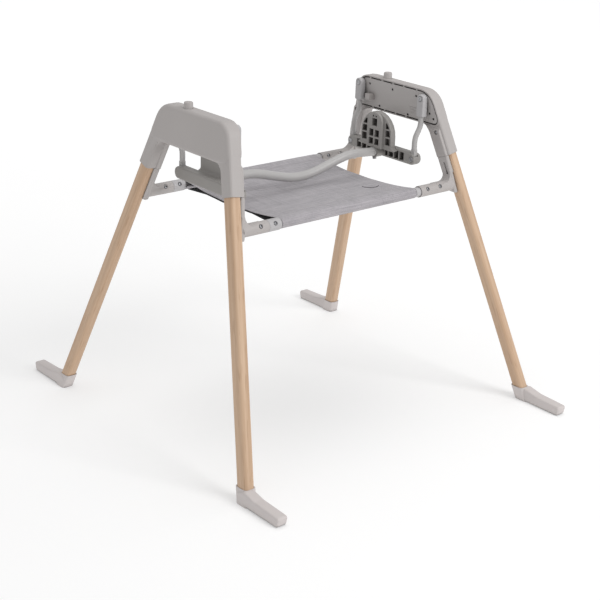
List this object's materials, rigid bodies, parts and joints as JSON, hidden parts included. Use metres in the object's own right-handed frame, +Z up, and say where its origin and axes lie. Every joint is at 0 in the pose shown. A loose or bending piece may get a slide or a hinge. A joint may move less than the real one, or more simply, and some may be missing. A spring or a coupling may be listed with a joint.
{
  "type": "baby glider stand",
  "caption": "Free-standing swing stand for a baby seat: leaning arch frames on wooden legs, a hanging parallelogram swing with seat docks, and a fabric shelf between rails.",
  "frame": {"origin": "on the floor, midway between the feet", "axes": "+Z up, +X from one end frame to the other, -Y the front, the direction the swing moves along is Y"},
  "size_m": [0.7286, 0.7842, 0.6115],
  "materials": {
    "head_plastic": "fine satin grain, warm grey",
    "cover_plastic": "fine satin grain, darker warm grey",
    "carrier_plastic": "fine satin grain, light grey",
    "foot_plastic": "soft matte, slightly pinkish grey",
    "painted_tube": "satin light grey paint",
    "fastener_steel": "satin",
    "leg_wood": "clear matt lacquer on light beech",
    "shelf_fabric": "streaky grey mélange weave",
    "lining_fabric": "plain black weave"
  },
  "bodies": {
    "stand": {"left_head_shell": "head_plastic", "left_head_cover": "cover_plastic", "left_button_spring": "fastener_steel", "left_leg_front": "leg_wood", "left_foot_front": "foot_plastic", "left_upper_bolt_front": "fastener_steel", "left_elbow_front": "head_plastic", "left_rail_collar_front": "carrier_plastic", "left_elbow_screw_front_1": "fastener_steel", "left_collar_screw_front": "fastener_steel", "left_leg_back": "leg_wood", "left_foot_back": "foot_plastic", "left_upper_bolt_back": "fastener_steel", "left_elbow_back": "head_plastic", "left_rail_collar_back": "carrier_plastic", "left_elbow_screw_back_1": "fastener_steel", "left_collar_screw_back": "fastener_steel", "right_head_shell": "head_plastic", "right_head_cover": "cover_plastic", "right_button_spring": "fastener_steel", "right_leg_front": "leg_wood", "right_foot_front": "foot_plastic", "right_upper_bolt_front": "fastener_steel", "right_elbow_front": "head_plastic", "right_rail_collar_front": "carrier_plastic", "right_elbow_screw_front_1": "fastener_steel", "right_elbow_screw_front_2": "fastener_steel", "right_leg_back": "leg_wood", "right_foot_back": "foot_plastic", "right_upper_bolt_back": "fastener_steel", "right_elbow_back": "head_plastic", "right_rail_collar_back": "carrier_plastic", "right_elbow_screw_back_1": "fastener_steel", "right_elbow_screw_back_2": "fastener_steel", "rail_front": "painted_tube", "rail_back": "painted_tube", "shelf_cloth": "shelf_fabric", "shelf_lining": "lining_fabric"},
    "left_link_front": {"left_link_cap_front": "carrier_plastic", "left_link_tube_front": "painted_tube"},
    "left_link_back": {"left_link_cap_back": "carrier_plastic", "left_link_tube_back": "painted_tube"},
    "right_link_front": {"right_link_cap_front": "carrier_plastic", "right_link_tube_front": "painted_tube"},
    "right_link_back": {"right_link_cap_back": "carrier_plastic", "right_link_tube_back": "painted_tube"},
    "swing": {"cross_tube": "painted_tube", "left_carrier": "carrier_plastic", "left_clamp_screw": "fastener_steel", "left_lower_bolt_front": "fastener_steel", "left_lower_bolt_back": "fastener_steel", "right_carrier": "carrier_plastic", "right_clamp_screw": "fastener_steel", "right_lower_bolt_front": "fastener_steel", "right_lower_bolt_back": "fastener_steel"},
    "left_push_button": {"left_button": "head_plastic"},
    "left_lock": {"left_swing_lock": "head_plastic"},
    "right_push_button": {"right_button": "head_plastic"},
    "right_lock": {"right_swing_lock": "head_plastic"}
  },
  "joints": [
    {"name": "right_link_front_swing", "type": "hinge", "parent": "stand", "child": "right_link_front", "pos_m": [0.2236, -0.0825, 0.583], "axis": [1, 0, 0], "range_deg": [-10, 10]},
    {"name": "right_link_back_swing", "type": "hinge", "parent": "stand", "child": "right_link_back", "pos_m": [0.2236, 0.0915, 0.583], "axis": [1, 0, 0], "range_deg": [-10, 10]},
    {"name": "left_link_front_swing", "type": "hinge", "parent": "stand", "child": "left_link_front", "pos_m": [-0.2236, -0.0825, 0.583], "axis": [1, 0, 0], "range_deg": [-10, 10]},
    {"name": "left_link_back_swing", "type": "hinge", "parent": "stand", "child": "left_link_back", "pos_m": [-0.2236, 0.0915, 0.583], "axis": [1, 0, 0], "range_deg": [-10, 10]},
    {"name": "swing_level", "type": "hinge", "parent": "right_link_front", "child": "swing", "pos_m": [0.2105, -0.0825, 0.4666], "axis": [1, 0, 0], "range_deg": [-10, 10]},
    {"name": "left_button_press", "type": "slide", "parent": "stand", "child": "left_push_button", "axis": [0, 0, -1], "range_m": [0, 0.006], "deforming": ["left_button_spring"]},
    {"name": "left_lock_slide", "type": "slide", "parent": "stand", "child": "left_lock", "axis": [0, -1, 0], "range_m": [0, 0.003]},
    {"name": "right_button_press", "type": "slide", "parent": "stand", "child": "right_push_button", "axis": [0, 0, -1], "range_m": [0, 0.006], "deforming": ["right_button_spring"]},
    {"name": "right_lock_slide", "type": "slide", "parent": "stand", "child": "right_lock", "axis": [0, -1, 0], "range_m": [0, 0.003]}
  ],
  "couplings": [
    {"joint": "right_link_back_swing", "follows": "right_link_front_swing", "ratio": 1},
    {"joint": "left_link_front_swing", "follows": "right_link_front_swing", "ratio": 1},
    {"joint": "left_link_back_swing", "follows": "right_link_front_swing", "ratio": 1},
    {"joint": "swing_level", "follows": "right_link_front_swing", "ratio": -1},
    {"joint": "left_lock_slide", "follows": "left_button_press", "ratio": 0.5},
    {"joint": "right_lock_slide", "follows": "right_button_press", "ratio": 0.5}
  ]
}
